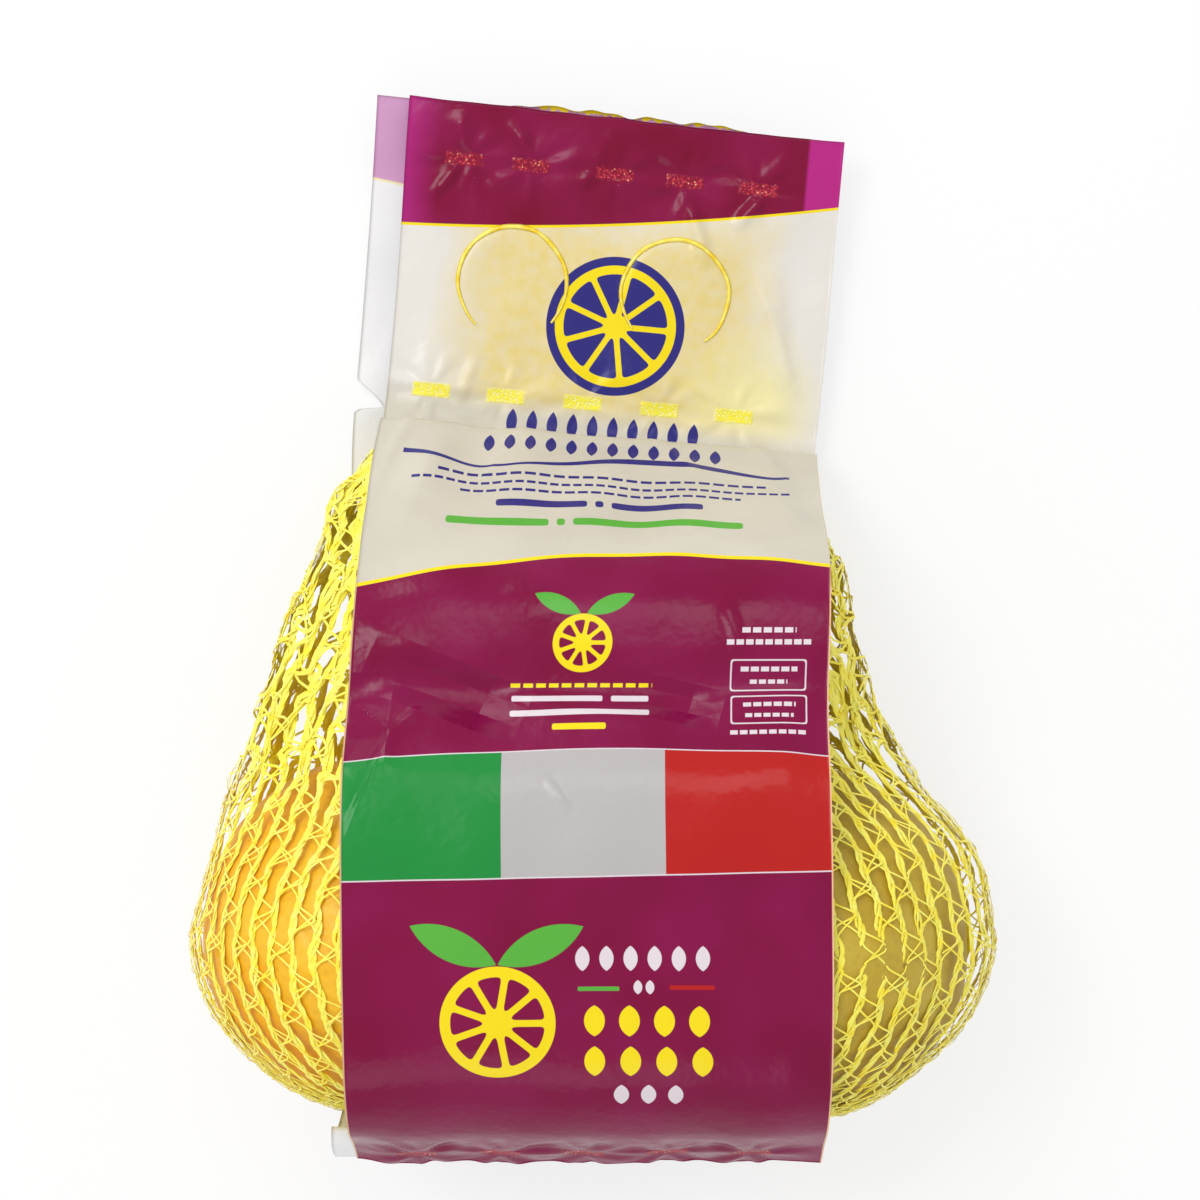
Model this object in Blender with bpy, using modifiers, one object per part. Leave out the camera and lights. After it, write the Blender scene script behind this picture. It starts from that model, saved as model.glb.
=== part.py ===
"""Net bag with three lemons, banded front and back with printed film, lying on its back band.

Metres, +Z up. The front band faces +Z, the hang header points to +Y and the closed end to -Y.
Three solids: the filled net, the front band and the back band. The origin is under the middle
of the whole, on the surface that it lies on.
"""

import math

import bmesh
import bpy
import numpy as np

# Fruits that fill the net: centre and half sizes, metres
LEFT_LEMON = ((-0.0400, -0.0650, 0.0355), (0.0375, 0.0345, 0.0345))
RIGHT_LEMON = ((0.0350, -0.0665, 0.0355), (0.0370, 0.0345, 0.0345))
MIDDLE_LEMON = ((-0.0010, -0.0110, 0.0285), (0.0360, 0.0275, 0.0275))
NET_CLEARANCE = 0.0006  # from a fruit's skin to the middle of the net's strands

# Bands of film
FILM_WIDTH = 0.0900
FILM_THICKNESS = 0.0003
FRONT_CENTRE = ((-0.1100, -0.0030), (-0.0600, -0.0030), (0.0350, 0.0015), (0.1050, 0.0015))
BACK_CENTRE = ((-0.1100, -0.0065), (-0.0200, -0.0065), (0.0350, -0.0063), (0.1050, -0.0063))
EDGE_DROOP = 0.0010  # how far the side edges of the front band hang below its middle

# Middle line of the front band, (y, z), from the cut end of its tail to the top of the header
FRONT_LINE = (
    (-0.1088, 0.0422), (-0.1048, 0.0492), (-0.0995, 0.0590), (-0.0895, 0.0675),
    (-0.0740, 0.0710), (-0.0600, 0.0717), (-0.0420, 0.0712), (-0.0310, 0.0682),
    (-0.0240, 0.0632), (-0.0170, 0.0590), (-0.0080, 0.0577), (0.0015, 0.0548),
    (0.0085, 0.0492), (0.0200, 0.0320), (0.0300, 0.0165), (0.0338, 0.0096),
    (0.0332, 0.0062), (0.0362, 0.0050), (0.0430, 0.0050), (0.0600, 0.0056),
    (0.0800, 0.0076), (0.0990, 0.0112),
)

# Middle line of the back band, which lies flat under the fruits and turns up round the closed end
BACK_FLAT_Z = FILM_THICKNESS / 2
BACK_TURN_CENTRE = (-0.0668, 0.0367)
BACK_TURN_END = math.radians(17)  # above the horizontal, where the two bands meet
BACK_TAIL = ((-0.1042, 0.0468), (-0.1080, 0.0402))
BACK_HEADER = (
    (0.0250, BACK_FLAT_Z), (0.0420, BACK_FLAT_Z), (0.0550, 0.0006), (0.0720, 0.0027),
    (0.0870, 0.0058), (0.0990, 0.0092),
)

# Outline of the net from above, (y, x), past the fruits' middle line towards the header
NET_LEFT = (
    (-0.0650, -0.0795), (-0.0380, -0.0722), (-0.0150, -0.0647), (0.0050, -0.0582),
    (0.0230, -0.0500), (0.0360, -0.0395), (0.0420, -0.0365),
)
NET_RIGHT = (
    (-0.0650, 0.0768), (-0.0490, 0.0731), (-0.0360, 0.0625), (-0.0230, 0.0550),
    (-0.0050, 0.0497), (0.0150, 0.0457), (0.0330, 0.0405), (0.0420, 0.0395),
)
NET_SIDE_Z = (
    (-0.0650, 0.0355), (-0.0300, 0.0340), (0.0000, 0.0290), (0.0200, 0.0170),
    (0.0330, 0.0045), (0.0420, 0.0026),
)
NET_FLOOR_Z = 0.0009  # the net's underside, above the back band
NET_END = (-0.0965, 0.0490)  # (y, z) of the closed end, where the bands meet
NET_UNDER_FILM = 0.0011  # from the front band's middle line square to the net's crown
NET_IN_HEADER = (0.0420, 0.0960, 0.0380, 0.0004)  # from y, to y, half width, thickness
ROUND_SIDES, SLOPING_SIDES = 2.5, 1.6  # exponents of the net's cross-section

# The header is skewed to the front band, about the neck where the net enters it
SKEW = math.radians(5.0)
SKEW_PIVOT = (0.0015, 0.0400)
SKEW_FROM, SKEW_TO = 0.0050, 0.0380
TOP_CUT_SKEW = 0.0010  # how much further the top cut runs up at its left end than at its right

# A small tear in the left edge of the back band, beside the neck: where, and its size
TEAR = (-0.0522, 0.0457)
TEAR_SIZE = (0.0068, 0.0052)

RING_POINTS = 40
END_RINGS, BODY_RINGS, HEADER_RINGS = 11, 26, 6
FRONT_CELLS = (10, 64)
BACK_CELLS = (8, 44)

FILM_COLOUR = (0.28, 0.005, 0.065, 1.0)
BACK_FILM_COLOUR = (0.80, 0.79, 0.80, 1.0)
NET_COLOUR = (0.80, 0.62, 0.03, 1.0)


def clear_scene():
    for obj in list(bpy.data.objects):
        bpy.data.objects.remove(obj)


def collection(name):
    made = bpy.data.collections.new(name)
    bpy.context.scene.collection.children.link(made)
    return made


def plastic(name, colour, roughness):
    made = bpy.data.materials.new(name)
    made.use_nodes = True
    shader = made.node_tree.nodes["Principled BSDF"]
    shader.inputs["Base Color"].default_value = colour
    shader.inputs["Roughness"].default_value = roughness
    return made


def smooth(knots, at):
    """Value at `at` of the smooth curve through (position, value) knots, held level past its ends."""
    x, value = np.array(knots, float).T
    slope = np.gradient(value, x)
    at = np.clip(at, x[0], x[-1])
    i = np.clip(np.searchsorted(x, at) - 1, 0, len(x) - 2)
    step = x[i + 1] - x[i]
    t = (at - x[i]) / step
    rise = t * t * (3 - 2 * t)
    return (
        value[i] * (1 - rise)
        + value[i + 1] * rise
        + slope[i] * step * t * (1 - t) ** 2
        - slope[i + 1] * step * t * t * (1 - t)
    )


def even_line(points, count):
    """`count` points, evenly spaced, along the smooth line through `points`."""
    points = np.array(points, float)
    chord = np.concatenate([[0], np.cumsum(np.linalg.norm(np.diff(points, axis=0), axis=1))])
    fine = np.linspace(0, chord[-1], 2000)
    line = np.stack([smooth(list(zip(chord, column)), fine) for column in points.T], axis=1)
    along = np.concatenate([[0], np.cumsum(np.linalg.norm(np.diff(line, axis=0), axis=1))])
    at = np.linspace(0, along[-1], count)
    return np.stack([np.interp(at, along, column) for column in line.T], axis=1)


def skewed(points):
    """The header's turn: points past the neck swing about it, and those before it swing less and less."""
    share = np.clip((points[:, 1] - SKEW_FROM) / (SKEW_TO - SKEW_FROM), 0, 1)
    angle = SKEW * share * share * (3 - 2 * share)
    dx, dy = points[:, 0] - SKEW_PIVOT[0], points[:, 1] - SKEW_PIVOT[1]
    x = SKEW_PIVOT[0] + dx * np.cos(angle) + dy * np.sin(angle)
    y = SKEW_PIVOT[1] - dx * np.sin(angle) + dy * np.cos(angle)
    return np.stack([x, y, points[:, 2]], axis=1)


def outside_fruits(points):
    """Points that lie inside a fruit, moved straight out from its centre to the net round it."""
    for centre, half in (LEFT_LEMON, RIGHT_LEMON, MIDDLE_LEMON):
        offset = points - np.array(centre)
        depth = np.linalg.norm(offset / (np.array(half) + NET_CLEARANCE), axis=1)
        inside = (depth < 1) & (depth > 0)
        points[inside] = np.array(centre) + offset[inside] / depth[inside, None]
    return points


def net_ring(left, right, side_z, crown_z, floor_z, exponent, y):
    """One cross-section of the net, flat at its sides' height and bulging to its crown and floor."""
    turn = np.linspace(0, 2 * math.pi, RING_POINTS, endpoint=False)
    across, up = np.cos(turn), np.sin(turn)
    x = (left + right) / 2 + (right - left) / 2 * np.sign(across) * np.abs(across) ** (2 / exponent)
    reach = np.where(up > 0, crown_z - side_z, side_z - floor_z)
    z = side_z + reach * np.sign(up) * np.abs(up) ** (2 / exponent)
    return np.stack([x, np.full(RING_POINTS, y), z], axis=1)


def crown(y):
    """Height of the net's crown under the front band, at y."""
    line = even_line(FRONT_LINE, 600)
    along = np.gradient(line, axis=0)
    along /= np.linalg.norm(along, axis=1)[:, None]
    under = line + NET_UNDER_FILM * np.stack([along[:, 1], -along[:, 0]], axis=1)
    under = under[np.argmax(under[:, 1]):]
    order = np.argsort(under[:, 0])
    return np.interp(y, under[order, 0], under[order, 1])


def net_rings():
    """Rings of the filled net from its closed end, over the fruits and the neck, to the header's top."""
    rings = []
    middle = NET_LEFT[0][0]
    left_centre, right_centre = LEFT_LEMON[0][0], RIGHT_LEMON[0][0]
    for turn in np.linspace(math.pi / 2, 0, END_RINGS, endpoint=False):
        open_share, along = math.cos(turn), math.sin(turn)
        y = middle + (NET_END[0] - middle) * along
        side_z = NET_SIDE_Z[0][1] + (NET_END[1] - NET_SIDE_Z[0][1]) * (1 - open_share) ** 2
        reach = max(open_share, 0.012)
        left = left_centre + (NET_LEFT[0][1] - left_centre) * reach
        right = right_centre + (NET_RIGHT[0][1] - right_centre) * reach
        half = LEFT_LEMON[1][2] + NET_CLEARANCE
        rings.append(net_ring(left, right, side_z, side_z + half * reach * 0.985,
                              side_z - half * reach * 0.985, ROUND_SIDES, y))
    for y in np.linspace(middle, NET_IN_HEADER[0], BODY_RINGS, endpoint=False):
        share = np.clip((y - middle) / 0.045, 0, 1)
        exponent = ROUND_SIDES + (SLOPING_SIDES - ROUND_SIDES) * share
        rings.append(net_ring(smooth(NET_LEFT, y), smooth(NET_RIGHT, y), smooth(NET_SIDE_Z, y),
                              crown(y), NET_FLOOR_Z, exponent, y))
    front, back = even_line(FRONT_LINE, 600), even_line(BACK_HEADER, 200)
    start, end, half_width, thickness = NET_IN_HEADER
    for y in np.linspace(start, end, HEADER_RINGS):
        z = (np.interp(y, front[-300:, 0], front[-300:, 1]) + np.interp(y, back[:, 0], back[:, 1])) / 2
        centre = (smooth(FRONT_CENTRE, y) + smooth(BACK_CENTRE, y)) / 2
        rings.append(net_ring(centre - half_width, centre + half_width, z,
                              z + thickness / 2, z - thickness / 2, 4.0, y))
    return [skewed(outside_fruits(ring)) for ring in rings]


def loft(name, rings):
    """A closed mesh through rings of the same number of points, capped at both ends."""
    bm = bmesh.new()
    loops = [[bm.verts.new(p) for p in ring] for ring in rings]
    for first, second in zip(loops, loops[1:]):
        for i in range(RING_POINTS):
            k = (i + 1) % RING_POINTS
            bm.faces.new((first[i], first[k], second[k], second[i]))
    bm.faces.new(loops[0])
    bm.faces.new(loops[-1])
    bmesh.ops.recalc_face_normals(bm, faces=bm.faces)
    mesh = bpy.data.meshes.new(name)
    bm.to_mesh(mesh)
    bm.free()
    return bpy.data.objects.new(name, mesh)


def film(name, line, centre, cells, droop, home):
    """A band of film: a flat grid bent along its middle line (y, z) and given its thickness."""
    bpy.ops.mesh.primitive_grid_add(x_subdivisions=cells[0], y_subdivisions=cells[1], size=1)
    obj = bpy.context.object
    obj.name = obj.data.name = name
    flat = np.empty(len(obj.data.vertices) * 3)
    obj.data.vertices.foreach_get("co", flat)
    flat = flat.reshape(-1, 3)
    along = (flat[:, 1] + 0.5) * (len(line) - 1)
    at = np.stack([np.interp(along, np.arange(len(line)), column) for column in line.T], axis=1)
    across = flat[:, 0] * FILM_WIDTH
    top_share = np.clip((at[:, 0] - SKEW_TO) / (line[-1, 0] - SKEW_TO), 0, 1)
    points = np.stack([
        smooth(centre, at[:, 0]) + across,
        at[:, 0] - TOP_CUT_SKEW * top_share * flat[:, 0] * 2,
        at[:, 1] - droop * np.abs(flat[:, 0] * 2) ** 4 * (at[:, 0] < SKEW_FROM),
    ], axis=1)
    obj.data.vertices.foreach_set("co", skewed(points).ravel())
    solid = obj.modifiers.new("thickness", "SOLIDIFY")
    solid.thickness = FILM_THICKNESS
    solid.offset = 0
    for owner in list(obj.users_collection):
        owner.objects.unlink(obj)
    home.objects.link(obj)
    return obj


def back_line():
    """The back band's middle line: its tail, round the closed end, flat, then up into the header."""
    centre_y, centre_z = BACK_TURN_CENTRE
    radius = centre_z - BACK_FLAT_Z
    turn = np.linspace(BACK_TURN_END, -math.pi / 2, 9)
    round_end = [(centre_y - radius * math.cos(a), centre_z + radius * math.sin(a)) for a in turn]
    flat = [(y, BACK_FLAT_Z) for y in (centre_y + 0.003, -0.0450, -0.0200, 0.0050)]
    line = even_line([BACK_TAIL[1], BACK_TAIL[0], *round_end, *flat, *BACK_HEADER], 400)
    line[:, 1] = np.maximum(line[:, 1], BACK_FLAT_Z)
    return line


def tear(obj, home):
    """A three-cornered bite out of the left edge of a band."""
    bm = bmesh.new()
    bmesh.ops.create_cone(bm, cap_ends=True, segments=3, radius1=1, radius2=1, depth=0.02)
    mesh = bpy.data.meshes.new("tear_cutter")
    bm.to_mesh(mesh)
    bm.free()
    cutter = bpy.data.objects.new("tear_cutter", mesh)
    cutter.location = (*TEAR, 0)
    cutter.rotation_euler = (0, 0, math.radians(-12))
    cutter.scale = (TEAR_SIZE[1], TEAR_SIZE[0], 1)
    cutter.hide_render = True
    cutter.display_type = "WIRE"
    home.objects.link(cutter)
    cut = obj.modifiers.new("tear", "BOOLEAN")
    cut.operation = "DIFFERENCE"
    cut.object = cutter
    return cutter


def stand_on_origin(objects, followers):
    """Moves everything so that the whole's box stands on the origin, on the middle of its underside."""
    bpy.context.view_layer.update()
    graph = bpy.context.evaluated_depsgraph_get()
    corners = []
    for obj in objects:
        evaluated = obj.evaluated_get(graph)
        corners += [evaluated.matrix_world @ v.co for v in evaluated.data.vertices]
    corners = np.array(corners)
    low, high = corners.min(axis=0), corners.max(axis=0)
    shift = ((low[0] + high[0]) / 2, (low[1] + high[1]) / 2, low[2])
    print("moved by", [-round(s, 6) for s in shift])
    for obj in [*objects, *followers]:
        for axis in range(3):
            obj.location[axis] -= shift[axis]


def main():
    clear_scene()
    home, cutters = collection("lemon_net_bag"), collection("cutters")
    net = loft("filled_net", net_rings())
    home.objects.link(net)
    front = film("front_band", even_line(FRONT_LINE, 400), FRONT_CENTRE, FRONT_CELLS, EDGE_DROOP, home)
    back = film("back_band", back_line(), BACK_CENTRE, BACK_CELLS, 0, home)
    cutter = tear(back, cutters)
    net.data.materials.append(plastic("net_yellow", NET_COLOUR, 0.4))
    front.data.materials.append(plastic("printed_film", FILM_COLOUR, 0.3))
    back.data.materials.append(plastic("pale_film", BACK_FILM_COLOUR, 0.3))
    stand_on_origin([net, front, back], [cutter])


main()
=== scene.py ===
# Net of lemons: three lemons in a knitted net, with a band of printed film over the front and the back.
# Lengths are millimetres until a mesh is made. The pack lies on its back, with its header towards +Y.

import math
import bmesh
import bpy
import numpy as np
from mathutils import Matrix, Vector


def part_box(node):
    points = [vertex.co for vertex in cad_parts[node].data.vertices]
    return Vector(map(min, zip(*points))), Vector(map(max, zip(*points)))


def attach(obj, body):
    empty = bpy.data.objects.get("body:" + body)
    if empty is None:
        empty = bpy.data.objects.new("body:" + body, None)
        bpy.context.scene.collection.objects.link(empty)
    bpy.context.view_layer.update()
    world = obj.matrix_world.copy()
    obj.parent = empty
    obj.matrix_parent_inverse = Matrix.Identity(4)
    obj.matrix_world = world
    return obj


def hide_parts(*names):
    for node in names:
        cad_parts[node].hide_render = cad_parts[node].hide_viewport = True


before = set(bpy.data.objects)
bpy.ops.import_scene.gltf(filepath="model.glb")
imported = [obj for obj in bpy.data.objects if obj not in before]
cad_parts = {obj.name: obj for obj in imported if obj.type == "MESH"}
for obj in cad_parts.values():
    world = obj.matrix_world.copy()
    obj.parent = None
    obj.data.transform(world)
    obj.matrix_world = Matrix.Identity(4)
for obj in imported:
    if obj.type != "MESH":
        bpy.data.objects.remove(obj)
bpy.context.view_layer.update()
mm = 0.001
frontLow, frontHigh = (np.array(corner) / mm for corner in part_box("front_band"))
netLow, netHigh = (np.array(corner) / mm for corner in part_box("filled_net"))
print("frame loaded: front band", frontLow.round(1), frontHigh.round(1))


# Shapes worked out with numpy.

# Value at `at` of the smooth curve through (position, value) knots: cubics with the knots' mean slopes.
def smoothThrough(knots, at):
    x, value = np.array(knots, float).T
    slope = np.gradient(value, x)
    at = np.clip(at, x[0], x[-1])
    i = np.clip(np.searchsorted(x, at) - 1, 0, len(x) - 2)
    step = x[i + 1] - x[i]
    t = (at - x[i]) / step
    rise = t * t * (3 - 2 * t)
    bend = slope[i] * step * t * (1 - t) ** 2 - slope[i + 1] * step * t * t * (1 - t)
    return value[i] * (1 - rise) + value[i + 1] * rise + bend


# Points evenly spaced along the smooth line through `points`, and its length.
def evenLine(points, count):
    points = np.array(points, float)
    chord = np.concatenate([[0], np.cumsum(np.linalg.norm(np.diff(points, axis=0), axis=1))])
    fine = np.linspace(0, chord[-1], 4000)
    line = np.stack([smoothThrough(list(zip(chord, column)), fine) for column in points.T], axis=1)
    along = np.concatenate([[0], np.cumsum(np.linalg.norm(np.diff(line, axis=0), axis=1))])
    at = np.linspace(0, along[-1], count)
    return np.stack([np.interp(at, along, column) for column in line.T], axis=1), along[-1]


# A smooth noise of about -1 to 1: ten sine waves of seeded directions, with wavelengths round `size`.
def softNoise(a, b, size, seed):
    rng = np.random.default_rng(seed)
    total = 0
    for _ in range(10):
        angle, phase = rng.uniform(0, 2 * math.pi, 2)
        wave = size * rng.uniform(0.7, 1.7)
        total = total + np.sin(2 * math.pi * (a * math.cos(angle) + b * math.sin(angle)) / wave + phase)
    return total / 3.2


# 0 below `low`, 1 above `high`, and a smooth rise between them.
def ramp(value, low, high):
    t = np.clip((value - low) / (high - low), 0, 1)
    return t * t * (3 - 2 * t)


# A hump of height 1 at `centre` that fades over `width` either side: exp(-(distance / width)^2).
def hump(value, centre, width):
    return np.exp(-(((value - centre) / width) ** 2))


def unit(vectors):
    return vectors / np.maximum(np.linalg.norm(vectors, axis=-1, keepdims=True), 1e-9)


# Quads of a grid of rows by columns of points, closed round the columns if asked.
def gridQuads(rows, columns, closed=False):
    index = np.arange(rows * columns).reshape(rows, columns)
    if closed:
        index = np.concatenate([index, index[:, :1]], axis=1)
    return np.stack([index[:-1, :-1], index[:-1, 1:], index[1:, 1:], index[1:, :-1]], axis=-1).reshape(-1, 4)


# A mesh object from points in millimetres and quads, with an optional map and material numbers.
def makePiece(name, points, quads, materials, uv=None, materialOf=None, smooth=True):
    mesh = bpy.data.meshes.new(name)
    points = points.reshape(-1, 3)
    mesh.vertices.add(len(points))
    mesh.vertices.foreach_set("co", (points * mm).astype(np.float32).ravel())
    mesh.loops.add(quads.size)
    mesh.loops.foreach_set("vertex_index", quads.astype(np.int32).ravel())
    mesh.polygons.add(len(quads))
    mesh.polygons.foreach_set("loop_start", np.arange(0, quads.size, 4, dtype=np.int32))
    mesh.polygons.foreach_set("use_smooth", np.full(len(quads), smooth))
    if materialOf is not None:
        mesh.polygons.foreach_set("material_index", materialOf.astype(np.int32))
    if uv is not None:
        layer = mesh.uv_layers.new(name="print")
        layer.data.foreach_set("uv", uv.reshape(-1, 2)[quads.ravel()].astype(np.float32).ravel())
    mesh.update(calc_edges=True)
    for material in materials:
        mesh.materials.append(material)
    piece = bpy.data.objects.new(name, mesh)
    bpy.context.scene.collection.objects.link(piece)
    print("made", name, len(quads) * 2, "triangles")
    return piece


# Tubes along many paths at once: [path, point, xyz], with a flat four-sided section `wide` by `thick`
# that lies square to `outward`. Both ends are closed.
def tubes(paths, outward, wide, thick):
    along = unit(np.gradient(paths, axis=1))
    side = unit(np.cross(outward, along))
    up = np.cross(along, side)
    wide = np.broadcast_to(wide, paths.shape[:2])[..., None]
    thick = np.broadcast_to(thick, paths.shape[:2])[..., None]
    ring = np.stack([paths + side * wide / 2, paths + up * thick / 2,
                     paths - side * wide / 2, paths - up * thick / 2], axis=2)
    count, length = paths.shape[:2]
    one = gridQuads(length, 4, closed=True)
    caps = np.array([[0, 1, 2, 3], [3 + 4 * (length - 1), 2 + 4 * (length - 1), 1 + 4 * (length - 1),
                                    4 * (length - 1)]])
    one = np.concatenate([one, caps])
    start = np.arange(count)[:, None, None] * (4 * length)
    return ring.reshape(-1, 3), (one[None] + start).reshape(-1, 4)


def joined(parts):
    starts = np.cumsum([0] + [len(points) for points, _ in parts[:-1]])
    points = np.concatenate([points for points, _ in parts])
    quads = np.concatenate([quads + start for (_, quads), start in zip(parts, starts)])
    return points, quads


# Node helpers.

def newMaterial(name, **settings):
    material = bpy.data.materials.new(name)
    material.use_nodes = True
    shader = material.node_tree.nodes["Principled BSDF"]
    for socket, value in settings.items():
        shader.inputs[socket.replace("_", " ")].default_value = value
    return material, material.node_tree, shader


def feed(tree, socket, value):
    if isinstance(value, bpy.types.NodeSocket):
        tree.links.new(value, socket)
    else:
        socket.default_value = value


def calc(tree, operation, *values, clamp=False):
    node = tree.nodes.new("ShaderNodeMath")
    node.operation = operation
    node.use_clamp = clamp
    for socket, value in zip(node.inputs, values):
        feed(tree, socket, value)
    return node.outputs[0]


def blendColour(tree, factor, first, second):
    node = tree.nodes.new("ShaderNodeMix")
    node.data_type = "RGBA"
    feed(tree, node.inputs["Factor"], factor)
    feed(tree, node.inputs[6], first)
    feed(tree, node.inputs[7], second)
    return node.outputs[2]


def darker(colour, share):
    return tuple(part * share for part in colour[:3]) + (1,)


def noiseAt(tree, vector, scale, detail=2.0, roughness=0.5):
    node = tree.nodes.new("ShaderNodeTexNoise")
    node.inputs["Scale"].default_value = scale
    node.inputs["Detail"].default_value = detail
    node.inputs["Roughness"].default_value = roughness
    tree.links.new(vector, node.inputs["Vector"])
    return node.outputs["Fac"]


def cellsAt(tree, vector, scale, feature="F1"):
    node = tree.nodes.new("ShaderNodeTexVoronoi")
    node.feature = feature
    node.inputs["Scale"].default_value = scale
    tree.links.new(vector, node.inputs["Vector"])
    return node.outputs["Distance"]


def spread(tree, value, low, high, to=(0.0, 1.0)):
    node = tree.nodes.new("ShaderNodeMapRange")
    for name, number in (("From Min", low), ("From Max", high), ("To Min", to[0]), ("To Max", to[1])):
        node.inputs[name].default_value = number
    tree.links.new(value, node.inputs["Value"])
    return node.outputs["Result"]


def bumpFrom(tree, shader, height, strength, distance, normal=None):
    node = tree.nodes.new("ShaderNodeBump")
    node.inputs["Strength"].default_value = strength
    node.inputs["Distance"].default_value = distance
    tree.links.new(height, node.inputs["Height"])
    if normal is not None:
        tree.links.new(normal, node.inputs["Normal"])
    tree.links.new(node.outputs["Normal"], shader.inputs["Normal"])
    return node.outputs["Normal"]


def objectPlace(tree):
    return tree.nodes.new("ShaderNodeTexCoord").outputs["Object"]


# Lemons.

# The dull colours of the right lemon are partly its own duller skin and partly painted shade, which keeps it darker
# than the left one.
lemonPeel = dict(
    warm=(0.90, 0.45, 0.008, 1), pale=(0.90, 0.53, 0.02, 1),
    dullShadedWarm=(0.50, 0.33, 0.020, 1), dullShadedPale=(0.62, 0.46, 0.050, 1),
    speck=(0.16, 0.075, 0.012, 1), stemEnd=(0.42, 0.36, 0.05, 1),
    poreScale=620, poreDepth=0.0005,
)


def lemonMaterial(name, warm, pale, specks):
    material, tree, shader = newMaterial(name, Roughness=0.42, Specular_IOR_Level=0.45)
    place = objectPlace(tree)
    blotch = spread(tree, noiseAt(tree, place, 55, 1), 0.35, 0.65)
    colour = blendColour(tree, blotch, warm, pale)
    pores = cellsAt(tree, place, lemonPeel["poreScale"], "SMOOTH_F1")
    # painted shade: the peel is darkened at the bottom of each pore pit
    colour = blendColour(tree, spread(tree, pores, 0.05, 0.45, (0.22, 0.0)), colour, darker(warm, 0.6))
    if specks:
        cells = spread(tree, cellsAt(tree, place, 130), 0.02, 0.10 * specks, (0.85, 0.0))
        patch = spread(tree, noiseAt(tree, place, 38, 2), 0.50, 0.62)
        colour = blendColour(tree, calc(tree, "MULTIPLY", cells, patch), colour, lemonPeel["speck"])
        scuff = spread(tree, noiseAt(tree, place, 160, 4, 0.7), 0.56, 0.72, (0.0, 0.45))
        colour = blendColour(tree, scuff, colour, (0.42, 0.27, 0.05, 1))
    tree.links.new(colour, shader.inputs["Base Color"])
    dullness = spread(tree, noiseAt(tree, place, 240, 1), 0.3, 0.7, (0.34, 0.56))
    tree.links.new(dullness, shader.inputs["Roughness"])
    lumps = bumpFrom(tree, shader, noiseAt(tree, place, 170, 1), 0.35, 0.0006)
    bumpFrom(tree, shader, pores, 0.45, lemonPeel["poreDepth"], lumps)
    return material


# A lemon about its own long axis: length * cos(t) along it, and a radius of girth * sin(t)^0.94 round it.
# The blossom end is drawn out into a nipple and the stem end has a dimple with a button in it.
def lemonPoints(centre, half, turn, tip, seed, rows=150, columns=220):
    t = np.linspace(0.0, math.pi, rows)[:, None]
    around = np.linspace(0, 2 * math.pi, columns, endpoint=False)[None, :]
    girth = np.abs(np.sin(t)) ** 0.94
    reach = np.cos(t)
    nipple = 0.13 * hump(t, 0, 0.26)
    axis = reach * np.where(reach > 0, 0.87, 1.0) + nipple
    axis = axis + 0.055 * hump(t, math.pi, 0.13) - 0.035 * hump(t, math.pi, 0.055)
    ribs = 1 + 0.016 * np.sin(5 * around + 3 * t) * np.sin(t) + 0.010 * softNoise(around * 6, t * 8, 7, seed)
    ribs = ribs + 0.05 * np.sin(7 * around + 1) * hump(t, 0.24, 0.12)
    lumps = softNoise(30 * np.cos(around) * girth, 30 * reach + 20 * np.sin(around) * girth, 9, seed + 1)
    ribs = ribs - 0.014 * lumps * 0.35
    shape = np.stack([axis * half[0] + 0 * around, np.cos(around) * girth * ribs * half[1],
                      np.sin(around) * girth * ribs * half[2]], axis=-1)
    yaw, pitch = math.radians(turn), math.radians(tip)
    spin = np.array([[math.cos(yaw), -math.sin(yaw), 0], [math.sin(yaw), math.cos(yaw), 0], [0, 0, 1]])
    lift = np.array([[math.cos(pitch), 0, -math.sin(pitch)], [0, 1, 0], [math.sin(pitch), 0, math.cos(pitch)]])
    return shape @ (spin @ lift).T + np.array(centre)


# Where the fruits lie, from the sides and the closed end of the filled net. `turn` 0 points the nipple to +X.
lemons = {
    "lemon_left": dict(centre=(netLow[0] + 39.5, netLow[1] + 36.6, 35.5), half=(37.5, 34.5, 34.5),
                       turn=-4, tip=3, seed=3),
    "lemon_right": dict(centre=(netHigh[0] - 41.8, netLow[1] + 35.1, 35.5), half=(37.0, 34.5, 34.5),
                        turn=184, tip=-4, seed=8),
    "lemon_middle": dict(centre=(netLow[0] + 78.5, netLow[1] + 90.6, 28.5), half=(36.0, 27.5, 27.5),
                         turn=8, tip=2, seed=13),
}


def makeLemons():
    warmSkin = lemonMaterial("lemon_peel_warm", lemonPeel["warm"], lemonPeel["pale"], 0)
    # the dull skin's colours are partly painted shade
    dullShadedSkin = lemonMaterial("lemon_peel_dull_and_shaded", lemonPeel["dullShadedWarm"], lemonPeel["dullShadedPale"], 1)
    made = []
    for name, fruit in lemons.items():
        points = lemonPoints(**fruit)
        rows, columns = points.shape[:2]
        quads = gridQuads(rows, columns, closed=True)
        skin = dullShadedSkin if name == "lemon_right" else warmSkin
        piece = makePiece(name, points, quads, [skin])
        closePoles(piece)
        made.append(piece)
    return made


# Merges the rows of points that meet at a pole, and turns every face outwards.
def closePoles(piece):
    work = bmesh.new()
    work.from_mesh(piece.data)
    bmesh.ops.remove_doubles(work, verts=work.verts, dist=0.00001)
    bmesh.ops.recalc_face_normals(work, faces=work.faces)
    work.to_mesh(piece.data)
    work.free()


# The bands of film.

band = dict(width=90.0, thickness=0.12, rows=330, columns=122)

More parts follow.
